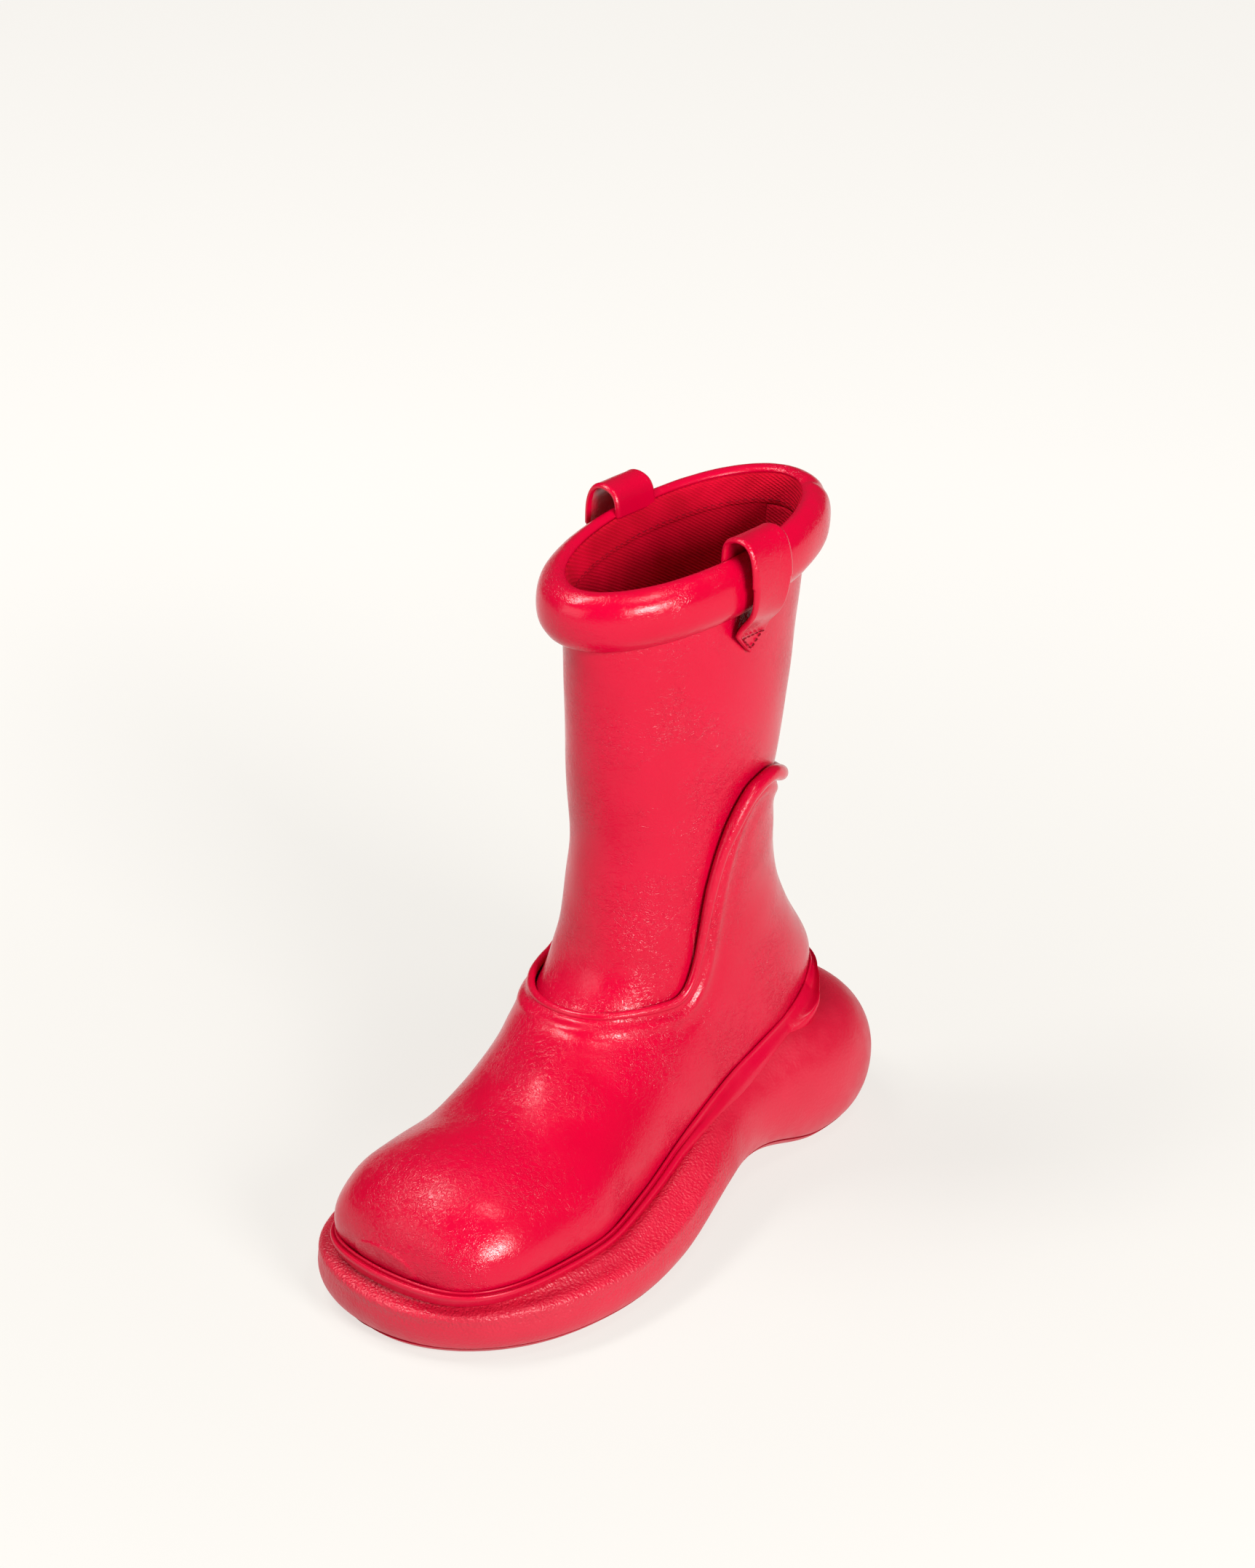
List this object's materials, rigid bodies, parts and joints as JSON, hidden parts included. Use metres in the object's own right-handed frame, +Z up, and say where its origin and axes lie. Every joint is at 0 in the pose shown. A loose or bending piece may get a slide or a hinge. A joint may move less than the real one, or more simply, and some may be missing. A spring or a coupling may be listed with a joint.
{
  "type": "rain boot",
  "caption": "Pull-on ankle-high rain boot for a right foot, with a puffed foam sole, an overshoe layer, a padded collar and pull straps.",
  "frame": {"origin": "middle of the whole boot's box, on the floor", "axes": "+Z up along the shaft, toe towards -Y, heel towards +Y, the inner (medial) side towards +X"},
  "size_m": [0.1349, 0.308, 0.3021],
  "materials": {
    "sole_rubber": "matte red rubber",
    "sole_foam": "matte to satin red moulded foam with a fine grain at the forefoot",
    "welt_gloss": "glossy red",
    "coated_upper": "glossy saturated red coating with faint creases",
    "twill_lining": "deep red twill",
    "thread": "matte red thread",
    "hidden_foam": "open foam",
    "board": "cellulose board",
    "stiffener": "thermoplastic sheet",
    "steel": "plain strip steel"
  },
  "bodies": {
    "root": {"outsole": "sole_rubber", "midsole": "sole_foam", "welt": "welt_gloss", "galosh_shell": "coated_upper", "galosh_edge_roll": "coated_upper", "edge_roll_cord": "hidden_foam", "shaft_shell": "coated_upper", "collar_cover": "coated_upper", "collar_foam": "hidden_foam", "lining": "twill_lining", "lining_top_facing": "twill_lining", "lining_back_strip": "twill_lining", "pull_strap_medial": "coated_upper", "pull_strap_lateral": "coated_upper", "pull_strap_stitching": "thread", "lining_stitching": "thread", "insole_board": "board", "bottom_filler": "hidden_foam", "shank": "steel", "toe_puff": "stiffener", "heel_counter": "stiffener", "vamp_interlining": "hidden_foam", "footbed_foam": "hidden_foam", "sock_liner": "twill_lining"}
  },
  "joints": []
}
